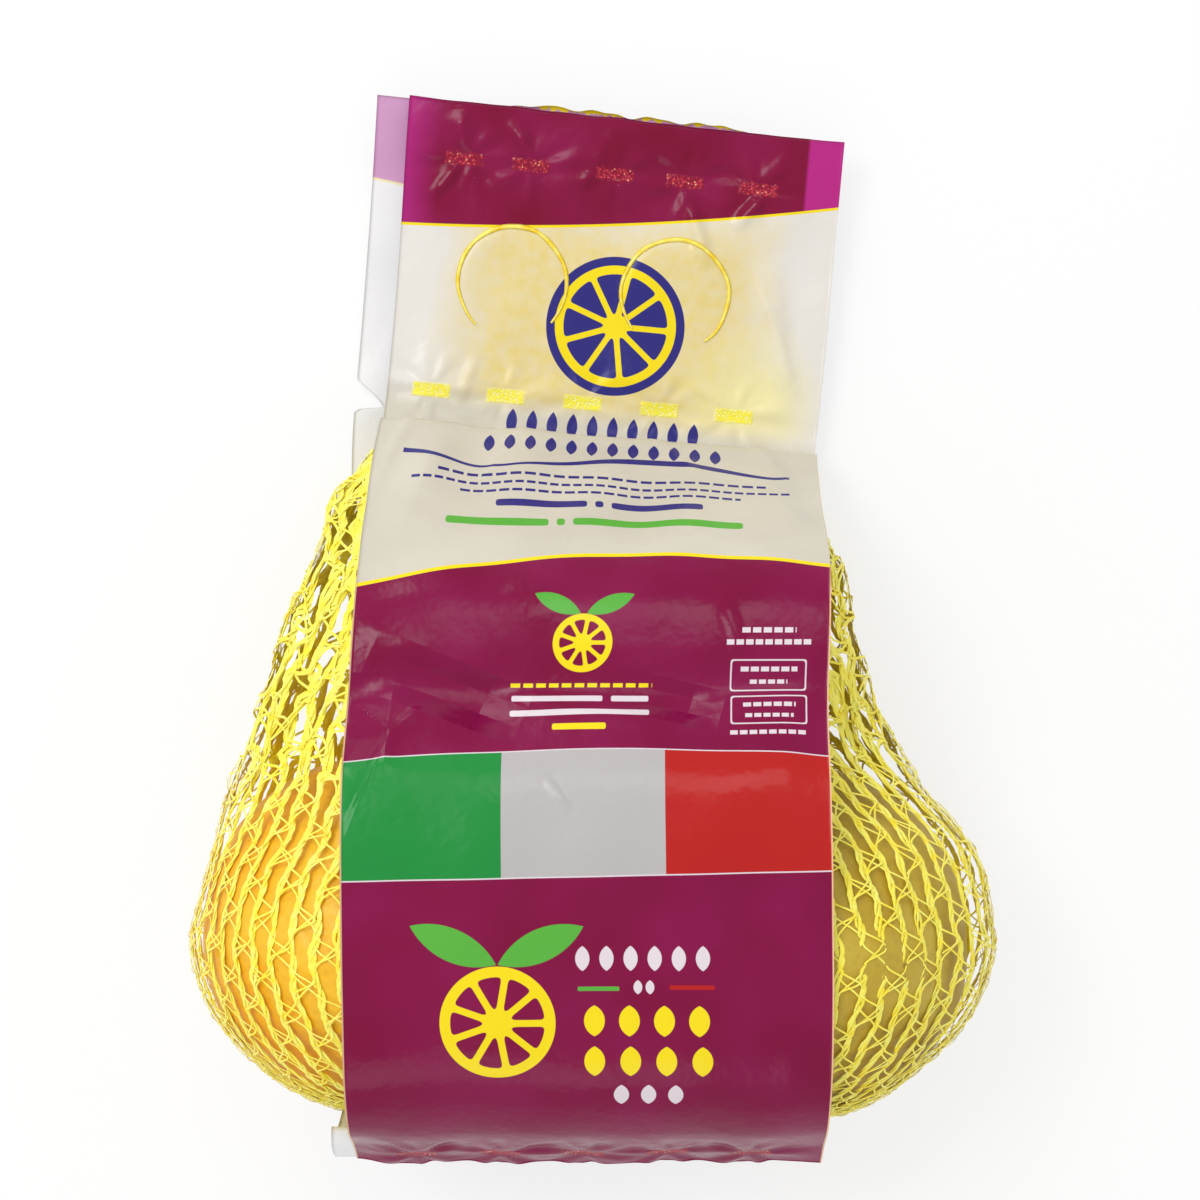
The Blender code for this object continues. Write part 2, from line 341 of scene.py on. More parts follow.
# Middle line of the front band: (distance from the end of its tail, height).
frontLine = [
    (0.1, 42.2), (4.1, 49.2), (9.4, 59.0), (19.4, 67.5), (34.9, 71.0), (48.9, 71.7), (66.9, 71.2),
    (77.9, 68.2), (84.9, 63.2), (91.9, 59.0), (100.9, 57.7), (110.4, 54.8), (117.4, 49.2), (128.9, 32.0),
    (138.9, 16.5), (142.7, 9.6), (142.1, 6.2), (145.1, 5.0), (151.9, 5.0), (168.9, 5.6), (188.9, 7.6),
    (207.9, 11.2),
]
frontMiddle = [(0, -0.8), (20, -0.8), (58, -1.1), (80, -1.2), (110, 0.0), (144, 1.7), (214, 1.75)]
headerTurn = dict(angle=5.0, pivotX=2.85, pivotY=148.9, start=113.9, end=146.9)


# The header is skewed to the band: points past the neck swing round it, and those before it less and less.
def skewHeader(points):
    away = points[..., 1] - frontLow[1]
    angle = math.radians(headerTurn["angle"]) * ramp(away, headerTurn["start"], headerTurn["end"])
    dx, dy = points[..., 0] - headerTurn["pivotX"], away - headerTurn["pivotY"]
    x = headerTurn["pivotX"] + dx * np.cos(angle) + dy * np.sin(angle)
    y = frontLow[1] + headerTurn["pivotY"] - dx * np.sin(angle) + dy * np.cos(angle)
    return np.stack([x, y, points[..., 2]], axis=-1)


# A band bent along its middle line: u is across it, s is from the cut at the header's top down the band.
# `lift` is how far the film stands off that line, along the line's own normal.
def bentBand(line, length, middle, u, s, lift):
    step = (length - s) / length * (len(line) - 1)
    count = np.arange(len(line))
    away, height = np.interp(step, count, line[:, 0]), np.interp(step, count, line[:, 1])
    slope = unit(np.gradient(line, axis=0))
    ty, tz = np.interp(step, count, slope[:, 0]), np.interp(step, count, slope[:, 1])
    topCut = np.clip((away - headerTurn["end"]) / (line[-1, 0] - headerTurn["end"]), 0, 1)
    beyond = np.maximum(-s, 0)
    away = away + beyond * ty
    height = height + beyond * tz
    y = frontLow[1] + away - tz * lift - topCut * u / band["width"] * 2
    return skewHeader(np.stack([smoothThrough(middle, away) + u, y, height + ty * lift], axis=-1))


frontPath, frontLength = evenLine(frontLine, 1600)

weldsTop = dict(across=(-32.9, -18.9, -1.5, 13.1, 28.2), down=11.4, wide=7.6, high=2.4)
weldsNeck = dict(across=(-35.8, -20.3, -4.2, 11.8, 27.4), down=58.9, wide=7.8, high=2.8)
weldsTail = dict(across=(-33.0, -17.0, -1.0, 15.0, 31.0), down=248.6, wide=7.8, high=2.4)
hangCuts = (dict(across=-21.0, down=35.6, radius=11.3, start=-40, end=232),
            dict(across=12.8, down=34.9, radius=11.2, start=-52, end=222))


# Puckers round a row of welds: short ridges that run out from each weld and fade.
def puckers(u, s, welds, seed):
    total = 0
    rng = np.random.default_rng(seed)
    for centre in welds["across"]:
        du, ds = u - centre, s - welds["down"]
        far = np.hypot(du / 1.5, ds)
        turn = np.arctan2(ds, du)
        rays = np.sin(turn * rng.integers(5, 8) + rng.uniform(0, 6)) + 0.5 * np.sin(turn * 11 + rng.uniform(0, 6))
        total = total + 0.22 * rays * np.exp(-((far - 4.5) / 3.2) ** 2) * ramp(far, 1.0, 3.0)
        total = total - 0.25 * np.exp(-(np.hypot(du / 3.4, ds / 1.5) ** 4))
    return total


# A soft crease: a ridge along the line from one (u, s) point to another, fading at its ends.
def crease(u, s, start, end, height, width):
    start, end = np.array(start, float), np.array(end, float)
    along = (end - start) / np.linalg.norm(end - start)
    du, ds = u - start[0], s - start[1]
    t = (du * along[0] + ds * along[1]) / np.linalg.norm(end - start)
    off = du * along[1] - ds * along[0]
    return height * np.exp(-np.abs(off / width) ** 1.4) * ramp(t, -0.15, 0.2) * (1 - ramp(t, 0.75, 1.15))


# How far the front film stands off its middle line.
def frontLift(u, s):
    header = 1 - ramp(s, 52, 62)
    slope = hump(s, 92, 24)
    lift = 0.30 * softNoise(u, s, 34, 21) * header + 0.16 * softNoise(u, s * 0.8, 15, 22) * header
    lift = lift + 0.22 * softNoise(u, s * 0.5, 20, 23) * (1 - header)
    lift = lift + 0.35 * softNoise(u * 1.6, s * 0.35, 22, 24) * slope
    lift = lift + puckers(u, s, weldsTop, 31) + 0.8 * puckers(u, s, weldsNeck, 32) + puckers(u, s, weldsTail, 33)
    edge = ramp(np.abs(u), 36, 45)
    lift = lift + edge * (0.5 * softNoise(s, u * 0.2, 38, 25) - 0.4 * ramp(s, 120, 140))
    lift = lift + crease(u, s, (-43, 148), (-36.5, 154.5), 0.5, 1.1) + crease(u, s, (-31, 149), (-36.5, 155), 0.45, 1.1)
    lift = lift + crease(u, s, (-36.5, 154), (-37.5, 163), 0.45, 1.2)
    lift = lift + crease(u, s, (-44, 131), (-20, 146), 0.35, 2.4) + crease(u, s, (-20, 146), (14, 153), 0.5, 2.0)
    lift = lift + crease(u, s, (14, 153), (44, 146), 0.35, 2.6)
    lift = lift + crease(u, s, (-37, 62), (-44, 96), 0.5, 1.6) + crease(u, s, (30, 62), (41, 92), 0.6, 1.8)
    lift = lift + crease(u, s, (8, 66), (22, 86), 0.35, 1.4) + crease(u, s, (-14, 66), (-22, 90), 0.3, 1.5)
    for start, end, height in (((-34, 0), (-29, 22), 0.4), ((-3, 3), (-9, 17), 0.35), ((13, 13), (19, 30), 0.45),
                               ((26, 12), (34, 3), 0.3), ((-31, 13), (-36, 21), 0.35), ((30, 30), (40, 54), 0.5)):
        lift = lift + crease(u, s, start, end, height, 0.9)
    for cut in hangCuts:
        far = np.hypot(u - cut["across"], s - cut["down"])
        lift = lift + 0.35 * ramp(far, cut["radius"] + 0.4, cut["radius"] - 1.2) * hump(s, cut["down"] - 8, 11)
    return lift


def frontSurface(u, s):
    return bentBand(frontPath, frontLength, frontMiddle, u, s, frontLift(u, s))


# Middle line of the back band: its tail, an arc round the closed end, flat under the fruits, up in the header.
backTurn = dict(away=42.1, height=36.7, radius=36.63, last=17.0)
turns = np.radians(np.linspace(backTurn["last"], -90, 9))
backLine = [(0.9, 40.2), (4.7, 46.8)]
backLine += [(backTurn["away"] - backTurn["radius"] * math.cos(a),
              backTurn["height"] + backTurn["radius"] * math.sin(a)) for a in turns]
backLine += [(45.1, 0.07), (63.9, 0.07), (88.9, 0.07), (113.9, 0.07), (133.9, 0.07), (150.9, 0.08), (163.9, 0.6),
             (180.9, 2.7), (195.9, 5.8), (207.9, 9.2)]
backMiddle = [(0, -5.15), (88, -5.15), (144, -4.95), (214, -4.95)]
backPath, backLength = evenLine(backLine, 1600)
backPath[:, 1] = np.maximum(backPath[:, 1], 0.07)
tear = dict(top=58.2, tip=63.4, bottom=64.6, depth=6.2)


def backSurface(u, s):
    header = 1 - ramp(s, 56, 66)
    edge = ramp(np.abs(u), 36, 45)
    lift = -header * (0.25 * softNoise(u, s, 30, 41) + edge * (0.3 * softNoise(s, u * 0.2, 26, 42) + 0.2))
    lift = lift - header * 0.6 * puckers(u, s, weldsTop, 43) * 0.5
    around = ramp(s, backLength - 70, backLength - 40)
    lift = lift + around * 0.22 * softNoise(u, s, 24, 44)
    lift = np.where(s < backLength - 70, np.minimum(lift, 0), lift)
    lift = lift - 0.9 * hump(s, 63, 9) * ramp(-u, 34, 44) * 0.8
    return bentBand(backPath, backLength, backMiddle, u, s, -lift)


# A film: its outer and inner sheets, a film's thickness apart, and a rim round them. u, s are grids.
def filmShell(name, surface, u, s, facing, materials):
    points = surface(u, s)
    normal = unit(np.cross(np.gradient(points, axis=0), np.gradient(points, axis=1))) * facing
    rows, columns = u.shape
    both = np.stack([points + normal * band["thickness"] / 2, points - normal * band["thickness"] / 2])
    grid = gridQuads(rows, columns)
    count = rows * columns
    if facing < 0:
        grid = grid[:, ::-1]
    index = np.arange(count).reshape(rows, columns)
    border = np.concatenate([index[0, :-1], index[:-1, -1], index[-1, :0:-1], index[:0:-1, 0]])
    after = np.roll(border, -1)
    rim = np.stack([border, border + count, after + count, after], axis=1)
    if facing > 0:
        rim = rim[:, ::-1]
    quads = np.concatenate([grid[:, ::-1], grid + count, rim[:, ::-1]])
    materialOf = np.concatenate([np.zeros(len(grid)), np.ones(len(grid)), np.ones(len(rim))])
    uv = np.stack([u, s], axis=-1) / 100
    return makePiece(name, both, quads, materials, np.concatenate([uv.reshape(-1, 2)] * 2), materialOf)


# What is printed on the film: every shape is a signed distance in millimetres, below 0 inside it.

ink = dict(
    plum=(0.200, 0.001, 0.042, 1), plumHeader=(0.195, 0.001, 0.024, 1), plumAlone=(0.46, 0.020, 0.22, 1),
    lilac=(0.62, 0.31, 0.54, 1), film=(0.76, 0.73, 0.68, 1), filmAlone=(0.88, 0.87, 0.88, 1),
    # slope: the film darker on the slope, partly from what shows through it and partly painted shade; the back band
    # also takes it as a darker tone at random
    glow=(0.77, 0.62, 0.23, 1), slope=(0.64, 0.60, 0.50, 1), yellow=(0.90, 0.70, 0.01, 1),
    navy=(0.030, 0.026, 0.20, 1), leaf=(0.10, 0.42, 0.05, 1), green=(0.014, 0.255, 0.045, 1),
    white=(0.475, 0.448, 0.448, 1), red=(0.465, 0.014, 0.012, 1), chalk=(0.74, 0.66, 0.70, 1),
    weldRed=(0.27, 0.008, 0.035, 1), weldYellow=(0.92, 0.82, 0.06, 1),
    glowCorner=(0.86, 0.78, 0.36, 1), margin=(0.86, 0.52, 0.30, 1),
)


def printPlace(tree):
    node = tree.nodes.new("ShaderNodeUVMap")
    node.uv_map = "print"
    scale = tree.nodes.new("ShaderNodeVectorMath")
    scale.operation = "SCALE"
    scale.inputs["Scale"].default_value = 100
    tree.links.new(node.outputs["UV"], scale.inputs[0])
    parts = tree.nodes.new("ShaderNodeSeparateXYZ")
    tree.links.new(scale.outputs[0], parts.inputs[0])
    return scale.outputs[0], parts.outputs["X"], parts.outputs["Y"]


def inside(tree, distance, soft=0.10):
    return calc(tree, "MULTIPLY_ADD", distance, -1 / soft, 0.5, clamp=True)


def boxShape(tree, u, s, centre, half, corner=0.0):
    across = calc(tree, "SUBTRACT", calc(tree, "ABSOLUTE", calc(tree, "SUBTRACT", u, centre[0])), half[0])
    down = calc(tree, "SUBTRACT", calc(tree, "ABSOLUTE", calc(tree, "SUBTRACT", s, centre[1])), half[1])
    if corner:
        return calc(tree, "SMOOTH_MAX", across, down, corner)
    return calc(tree, "MAXIMUM", across, down)


def ringDistance(tree, place, centre):
    node = tree.nodes.new("ShaderNodeVectorMath")
    node.operation = "DISTANCE"
    tree.links.new(place, node.inputs[0])
    node.inputs[1].default_value = (centre[0], centre[1], 0)
    return node.outputs["Value"]


# A pointed oval: where two discs overlap, as a leaf or a lemon is drawn.
def ovalShape(tree, place, centre, half, angle):
    reach = (half[0] ** 2 + half[1] ** 2) / (2 * half[1])
    side = reach - half[1]
    dx, dy = -math.sin(angle) * side, math.cos(angle) * side
    first = ringDistance(tree, place, (centre[0] + dx, centre[1] + dy))
    second = ringDistance(tree, place, (centre[0] - dx, centre[1] - dy))
    return calc(tree, "SUBTRACT", calc(tree, "MAXIMUM", first, second), reach)


# Height of a line that bows: level + tilt * (u - centre) + bow * (u - centre)^2.
def bowedLine(tree, u, level, tilt, bow, centre):
    away = calc(tree, "SUBTRACT", u, centre)
    return calc(tree, "ADD", level, calc(tree, "MULTIPLY", away, calc(tree, "MULTIPLY_ADD", away, bow, tilt)))


# A row of plain strokes that keeps the weight of a line of print: `pitch` long, with `gap` between them.
def strokeRow(tree, u, s, centre, half, pitch, gap):
    row = boxShape(tree, u, s, centre, half)
    turn = calc(tree, "PINGPONG", calc(tree, "SUBTRACT", u, centre[0] - half[0] + pitch / 2), pitch / 2)
    return calc(tree, "MAXIMUM", row, calc(tree, "SUBTRACT", turn, (pitch - gap) / 2))


# A line of print kept as plain round-ended bars, one for each word of the given lengths.
def barRow(tree, u, s, middle, down, tall, words, gap=1.6):
    at = middle - (sum(words) + gap * (len(words) - 1)) / 2
    total = None
    for word in words:
        bar = boxShape(tree, u, s, (at + word / 2, down), (word / 2, tall / 2), tall * 0.5)
        total = bar if total is None else calc(tree, "MINIMUM", total, bar)
        at += word + gap
    return total


# A line of large print kept as a row of pointed ovals that stand side by side, `pitch` apart.
def ovalRow(tree, u, s, middle, down, half, pitch, count):
    start = middle - pitch * count / 2
    turn = calc(tree, "PINGPONG", calc(tree, "SUBTRACT", u, start), pitch / 2)
    near = tree.nodes.new("ShaderNodeCombineXYZ")
    tree.links.new(calc(tree, "SUBTRACT", pitch / 2, turn), near.inputs[0])
    tree.links.new(s, near.inputs[1])
    oval = ovalShape(tree, near.outputs[0], (0, down), half, math.pi / 2)
    return calc(tree, "MAXIMUM", oval, boxShape(tree, u, s, (middle, down), (pitch * count / 2, 2 * half[0])))


# Distance off the line from `start` to `end`, and a share that fades to 0 over the last third at both ends.
def besideLine(tree, u, s, start, end):
    reach = math.dist(start, end)
    across, down = (end[0] - start[0]) / reach, (end[1] - start[1]) / reach
    du, ds = calc(tree, "SUBTRACT", u, start[0]), calc(tree, "SUBTRACT", s, start[1])
    along = calc(tree, "MULTIPLY_ADD", ds, down, calc(tree, "MULTIPLY", du, across))
    off = calc(tree, "SUBTRACT", calc(tree, "MULTIPLY", du, down), calc(tree, "MULTIPLY", ds, across))
    near = calc(tree, "SUBTRACT", reach / 2, calc(tree, "ABSOLUTE", calc(tree, "SUBTRACT", along, reach / 2)))
    return off, spread(tree, near, -0.05 * reach, 0.30 * reach)


# A ridge along a line: height * exp(-(distance / width)^2).
def ridgeHeight(tree, u, s, start, end, height, width):
    off, share = besideLine(tree, u, s, start, end)
    square = calc(tree, "POWER", calc(tree, "DIVIDE", off, width), 2.0)
    fall = calc(tree, "EXPONENT", calc(tree, "MULTIPLY", square, -1.0))
    return calc(tree, "MULTIPLY", calc(tree, "MULTIPLY", fall, height), share)


# A facet beside a line: the film slopes away from it for `reach`, and comes back gently beyond.
def facetHeight(tree, u, s, start, end, slope, reach):
    off, share = besideLine(tree, u, s, start, end)
    held = calc(tree, "MINIMUM", calc(tree, "MAXIMUM", off, 0.0), reach)
    held = calc(tree, "MULTIPLY", held, spread(tree, off, reach, 4 * reach, (1.0, 0.0)))
    return calc(tree, "MULTIPLY", calc(tree, "MULTIPLY", held, slope), share)


# A slice of lemon in outline: its rind, its core and the walls between its segments.
def sliceShape(tree, place, u, s, centre, radius, wall, segments=9):
    far = ringDistance(tree, place, centre)
    angle = calc(tree, "ARCTAN2", calc(tree, "SUBTRACT", s, centre[1]), calc(tree, "SUBTRACT", u, centre[0]))
    spoke = calc(tree, "PINGPONG", calc(tree, "ADD", angle, 2 * math.pi), math.pi / segments)
    hollow = calc(tree, "SUBTRACT", wall / 2, calc(tree, "MULTIPLY", spoke, far))
    hollow = calc(tree, "SMOOTH_MAX", hollow, calc(tree, "SUBTRACT", far, radius - 1.5 * wall), wall)
    hollow = calc(tree, "SMOOTH_MAX", hollow, calc(tree, "SUBTRACT", 2 * wall, far), wall)
    return calc(tree, "MAXIMUM", calc(tree, "SUBTRACT", far, radius), calc(tree, "MULTIPLY", hollow, -1.0))


def weldMask(tree, u, s, welds):
    total = None
    for across in welds["across"]:
        mark = boxShape(tree, u, s, (across, welds["down"]), (welds["wide"] / 2, welds["high"] / 2), 0.5)
        total = mark if total is None else calc(tree, "MINIMUM", total, mark)
    return total


def frontPrint():
    material, tree, shader = newMaterial("front_film_print", Roughness=0.30, Specular_IOR_Level=0.20)
    place, u, s = printPlace(tree)
    cloud = noiseAt(tree, place, 0.06, 1)
    fine = noiseAt(tree, place, 0.35, 2)

    # the milky film, warm where the net lies behind it in the header, and darker on the slope: partly what shows
    # through the film there and partly painted shade
    wavy = calc(tree, "MULTIPLY_ADD", cloud, 10.0, -5.0)
    glow = boxShape(tree, u, s, (0, 43), (33, 24), 6.0)
    glow = spread(tree, calc(tree, "ADD", glow, wavy), 5.0, -9.0)
    patchy = calc(tree, "MULTIPLY", glow, spread(tree, fine, 0.3, 0.7, (0.70, 1.0)))
    colour = blendColour(tree, patchy, ink["film"], ink["glow"])
    corner = spread(tree, calc(tree, "ADD", ringDistance(tree, place, (29, 55)), wavy), 16.0, 4.0, (0.0, 0.8))
    colour = blendColour(tree, corner, colour, ink["glowCorner"])
    # painted shade, with what shows through the film: the slope takes the darker slope colour
    onSlope = spread(tree, calc(tree, "MULTIPLY_ADD", u, -0.06, s), 59.5, 64.0)
    slope = blendColour(tree, spread(tree, cloud, 0.35, 0.65), ink["slope"], darker(ink["slope"], 0.93))
    colour = blendColour(tree, onSlope, colour, slope)

    # the header's field of plum with its yellow edge, paler where the back band doesn't lie behind it
    headEdge = bowedLine(tree, u, 21.3, -0.1345, -0.00096, 0)
    overNothing = calc(tree, "MAXIMUM", spread(tree, u, 37.6, 38.3), spread(tree, u, -38.0, -46.5))
    head = blendColour(tree, overNothing, ink["plumHeader"], ink["plumAlone"])
    head = blendColour(tree, spread(tree, cloud, 0.3, 0.7, (0.0, 0.22)), head, ink["plumAlone"])
    rule = calc(tree, "SUBTRACT", s, calc(tree, "ADD", headEdge, 0.55))
    colour = blendColour(tree, inside(tree, rule), colour, ink["yellow"])
    colour = blendColour(tree, inside(tree, calc(tree, "SUBTRACT", s, headEdge)), colour, head)

    # a slice of lemon in a plain ring
    far = ringDistance(tree, place, (1.0, 42.5))
    colour = blendColour(tree, inside(tree, calc(tree, "SUBTRACT", far, 14.4)), colour, ink["navy"])
    fruit = sliceShape(tree, place, u, s, (1.0, 42.5), 12.6, 1.2)
    colour = blendColour(tree, inside(tree, fruit), colour, ink["yellow"])

    # plain strokes and a waved rule on the slope
    wave = calc(tree, "SINE", calc(tree, "MULTIPLY", calc(tree, "ADD", u, 4.0), 0.095))
    rule = calc(tree, "MULTIPLY_ADD", wave, -2.4, 83.4)
    swell = calc(tree, "MULTIPLY_ADD", wave, 0.35, 0.75)
    rule = calc(tree, "SUBTRACT", calc(tree, "ABSOLUTE", calc(tree, "SUBTRACT", s, rule)), swell)
    rule = calc(tree, "MAXIMUM", rule, calc(tree, "SUBTRACT", calc(tree, "ABSOLUTE", u), 39))
    marks = [(rule, "navy"),
             (ovalRow(tree, u, s, 0.5, 64.2, (2.9, 1.1), 4.2, 10), "navy"),
             (ovalRow(tree, u, s, 1.0, 77.0, (2.9, 1.1), 4.2, 12), "navy"),
             (barRow(tree, u, s, 1.0, 99.3, 2.5, (18, 1.6, 18)), "navy"),
             (barRow(tree, u, s, 0.0, 106.4, 2.7, (20, 1.6, 33)), "leaf")]
    for middle, down, half, tall, pitch, gap in (
            (1.2, 89.0, 33, 0.5, 2.9, 0.7), (1.2, 92.0, 38, 0.45, 2.3, 0.6), (1.0, 94.8, 28, 0.45, 2.6, 0.6)):
        marks.append((strokeRow(tree, u, s, (middle, down), (half, tall), pitch, gap), "navy"))
    for shape, name in marks:
        colour = blendColour(tree, inside(tree, shape), colour, ink[name])

    # the plum field below a bowed yellow edge
    edge = bowedLine(tree, u, 116.5, 0.0, 0.0024, 11)
    colour = blendColour(tree, inside(tree, calc(tree, "SUBTRACT", edge, s)), colour, ink["yellow"])
    field = calc(tree, "SUBTRACT", calc(tree, "ADD", edge, 0.9), s)
    plum = blendColour(tree, spread(tree, cloud, 0.3, 0.7, (0.0, 0.12)), ink["plum"], ink["plumAlone"])
    colour = blendColour(tree, inside(tree, field), colour, plum)

    # small emblem, strokes and rounded frames on the plum
    pieces = [(sliceShape(tree, place, u, s, (-1.5, 136.2), 5.6, 0.8), "yellow"),
              (ovalShape(tree, place, (-6.5, 128.6), (4.8, 1.7), math.radians(24)), "leaf"),
              (ovalShape(tree, place, (3.5, 128.6), (4.8, 1.7), math.radians(-24)), "leaf"),
              (barRow(tree, u, s, -1.5, 147.0, 1.2, (17, 7)), "chalk"),
              (barRow(tree, u, s, -1.5, 150.0, 1.2, (26,)), "chalk"),
              (barRow(tree, u, s, -1.5, 153.0, 1.3, (10,)), "yellow")]
    for centre, down, half, tall, pitch, gap, name in (
            (-1.5, 144.3, 13.4, 0.4, 2.4, 0.6, "yellow"),
            (33.4, 133.8, 5.2, 0.5, 2.0, 0.45, "chalk"), (33.4, 136.1, 8.0, 0.5, 1.8, 0.4, "chalk"),
            (33.6, 141.2, 5.4, 0.45, 1.9, 0.4, "chalk"), (33.6, 143.6, 3.6, 0.4, 1.7, 0.4, "chalk"),
            (33.8, 148.3, 5.0, 0.45, 1.9, 0.4, "chalk"), (33.8, 150.6, 4.6, 0.4, 1.7, 0.4, "chalk"),
            (33.6, 154.2, 7.2, 0.45, 1.8, 0.4, "chalk")):
        pieces.append((strokeRow(tree, u, s, (centre, down), (half, tall), pitch, gap), name))
    for centre in ((33.6, 142.4), (33.8, 149.4)):
        frameShape = boxShape(tree, u, s, centre, (7.0, 2.9), 0.9)
        pieces.append((calc(tree, "SUBTRACT", calc(tree, "ABSOLUTE", frameShape), 0.14), "chalk"))
    for shape, name in pieces:
        colour = blendColour(tree, inside(tree, shape), colour, ink[name])

    # three panels, then plum again with the large emblem and its strokes
    top = bowedLine(tree, u, 158.1, 0.0, 0.0009, 8)
    bottom = bowedLine(tree, u, 181.9, -0.022, 0.0, 0)
    third = blendColour(tree, inside(tree, calc(tree, "ADD", u, 15.6)), ink["white"], ink["green"])
    third = blendColour(tree, inside(tree, calc(tree, "SUBTRACT", 14.5, u)), third, ink["red"])
    panels = calc(tree, "MAXIMUM", calc(tree, "SUBTRACT", top, s), calc(tree, "SUBTRACT", s, bottom))
    rim = calc(tree, "SUBTRACT", panels, 0.25)
    colour = blendColour(tree, inside(tree, rim), colour, ink["chalk"])
    colour = blendColour(tree, inside(tree, panels), colour, third)
    leaf = ovalShape(tree, place, (-24.5, 194.6), (8.6, 3.0), math.radians(24))
    pieces = [(sliceShape(tree, place, u, s, (-16.5, 209.0), 10.6, 1.3), "yellow"),
              (leaf, "leaf"), (ovalShape(tree, place, (-8.5, 194.6), (8.6, 3.0), math.radians(-24)), "leaf"),
              (ovalRow(tree, u, s, 10.1, 197.0, (2.3, 1.3), 4.4, 6), "chalk"),
              (ovalRow(tree, u, s, 10.3, 202.3, (1.3, 0.8), 2.2, 2), "chalk"),
              (barRow(tree, u, s, 2.0, 202.6, 0.8, (7.6,)), "leaf"),
              (barRow(tree, u, s, 19.1, 202.3, 0.8, (8.2,)), "red"),
              (ovalRow(tree, u, s, 10.8, 208.6, (2.9, 1.9), 6.4, 4), "yellow"),
              (ovalRow(tree, u, s, 11.1, 216.3, (2.9, 1.9), 6.6, 4), "yellow"),
              (ovalRow(tree, u, s, 11.1, 223.4, (2.3, 1.4), 5.0, 3), "chalk")]
    for shape, name in pieces:
        colour = blendColour(tree, inside(tree, shape), colour, ink[name])

    # the unprinted margin, and the welds: a cross-hatched stamp through film and net, dark red or yellow, with painted
    # highlights as glints and sparks
    margin = calc(tree, "SUBTRACT", 44.72, calc(tree, "ABSOLUTE", u))
    margin = calc(tree, "MULTIPLY", inside(tree, margin, 0.15), spread(tree, s, 117, 128))
    colour = blendColour(tree, margin, colour, ink["margin"])
    glintCells = spread(tree, cellsAt(tree, place, 1.7), 0.12, 0.55)
    spark = spread(tree, cellsAt(tree, place, 0.9), 0.10, 0.22, (1.0, 0.0))
    ragged = spread(tree, noiseAt(tree, place, 1.1), 0.3, 0.7, (-0.3, 0.3))
    stamp = calc(tree, "ADD", weldMask(tree, u, s, weldsTop), ragged)
    # painted highlights: bright red glints and pale orange sparks over the dark red weld colour
    redGlints = blendColour(tree, glintCells, (0.70, 0.05, 0.07, 1), ink["weldRed"])
    redGlints = blendColour(tree, spark, redGlints, (1.0, 0.42, 0.25, 1))
    colour = blendColour(tree, inside(tree, stamp, 0.5), colour, redGlints)
    neckStamp = weldMask(tree, u, s, weldsNeck)
    # painted highlights: pale yellow glints over the yellow neck welds
    yellowGlints = blendColour(tree, glintCells, (0.95, 0.90, 0.42, 1), ink["weldYellow"])
    colour = blendColour(tree, inside(tree, neckStamp, 0.6), colour, yellowGlints)
    tailStamp = weldMask(tree, u, s, weldsTail)
    colour = blendColour(tree, inside(tree, tailStamp, 0.5), colour, redGlints)
    tree.links.new(colour, shader.inputs["Base Color"])

    everyStamp = calc(tree, "MINIMUM", calc(tree, "MINIMUM", stamp, neckStamp), tailStamp)
    onStamp = inside(tree, everyStamp, 0.4)
    crinkle = calc(tree, "ADD", noiseAt(tree, place, 0.22, 2, 0.6), calc(tree, "MULTIPLY", glintCells, onStamp))
    fineNormal = bumpFrom(tree, shader, crinkle, 0.30, 0.0006)
    total = None
    for start, end, height, width in filmRidges:
        ridge = ridgeHeight(tree, u, s, start, end, height, width)
        total = ridge if total is None else calc(tree, "ADD", total, ridge)
    for start, end, slope, reach in filmFacets:
        total = calc(tree, "ADD", total, facetHeight(tree, u, s, start, end, slope, reach))
    bumpFrom(tree, shader, total, 1.0, 0.001, fineNormal)
    shine = spread(tree, cloud, 0.3, 0.7, (0.18, 0.28))
    tree.links.new(shine, shader.inputs["Roughness"])
    return material


# Creases of the front film too sharp for its mesh, as (start, end, height, width) in its own (u, s).
filmRidges = [
    ((-34.5, 2), (-33.0, 10), 0.75, 1.7), ((-24, 3), (-16.5, 13), 0.80, 1.9), ((-39, 20), (-33.5, 12), 0.60, 1.3),
    ((14, 14), (19, 28), 0.75, 1.7), ((24, 20), (30, 12), 0.70, 1.5), ((32, 26), (38, 58), 0.70, 2.6),
    ((-27, 50), (-30, 62), 0.45, 1.4), ((-36.5, 154.5), (-44.5, 172), 0.35, 0.8),
    ((-30, 76), (-40, 112), 0.60, 3.2), ((33, 74), (41, 112), 0.70, 3.0), ((-8, 163), (-3, 170), 0.30, 0.9),
    ((24, 126), (29, 139), 0.30, 1.6),
]
# Facets as (start, end, slope, reach): beside the line the film rises by the slope, as far as the reach.
filmFacets = [
    ((-37.2, 161), (-36.5, 143), -0.27, 8.0), ((-44.5, 176), (-37.0, 156), -0.24, 5.0),
    ((-14, 156), (-10, 146), -0.26, 8.0), ((24, 154), (26, 146), -0.22, 6.0),
]


